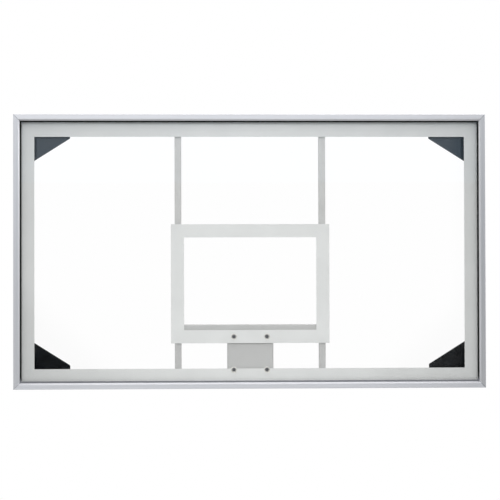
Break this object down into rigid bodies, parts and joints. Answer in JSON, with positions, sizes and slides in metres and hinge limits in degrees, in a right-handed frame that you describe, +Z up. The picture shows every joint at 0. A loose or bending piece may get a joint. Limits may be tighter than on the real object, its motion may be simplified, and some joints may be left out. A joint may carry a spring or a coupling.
{
  "type": "basketball backboard",
  "caption": "Framed glass basketball backboard with white border and target, steel struts behind, corner gussets and a bolt square for a rim.",
  "frame": {"origin": "middle of the four support slots, on the rear face of the corner gussets", "axes": "+X to the right seen from the court, +Y to the rear, +Z up"},
  "size_m": [1.808, 0.062, 1.05],
  "materials": {
    "glass": "clear tempered",
    "white_enamel": "fired enamel",
    "anodised_aluminium": "satin anodised",
    "black_rubber": "matte",
    "black_steel": "gloss black",
    "cast_aluminium": "as cast",
    "grey_steel": "grey powder coat",
    "zinc_steel": "zinc plated",
    "white_nylon": "natural nylon"
  },
  "bodies": {
    "root": {"border_marking": "white_enamel", "corner_key_bottom_left": "cast_aluminium", "corner_key_bottom_right": "cast_aluminium", "corner_key_top_left": "cast_aluminium", "corner_key_top_right": "cast_aluminium", "cross_bar": "grey_steel", "frame_bottom": "anodised_aluminium", "frame_left": "anodised_aluminium", "frame_right": "anodised_aluminium", "frame_top": "anodised_aluminium", "glass_bushes": "white_nylon", "glass_pane": "glass", "glazing_rubber_bottom": "black_rubber", "glazing_rubber_left": "black_rubber", "glazing_rubber_right": "black_rubber", "glazing_rubber_top": "black_rubber", "goal_plate": "grey_steel", "gusset_bottom_left": "black_steel", "gusset_bottom_right": "black_steel", "gusset_top_left": "black_steel", "gusset_top_right": "black_steel", "rim_spacers": "grey_steel", "rim_weld_nuts": "zinc_steel", "strut_foot_bottom_left": "grey_steel", "strut_foot_bottom_right": "grey_steel", "strut_foot_top_left": "grey_steel", "strut_foot_top_right": "grey_steel", "strut_left": "grey_steel", "strut_right": "grey_steel", "target_marking": "white_enamel"}
  },
  "joints": []
}
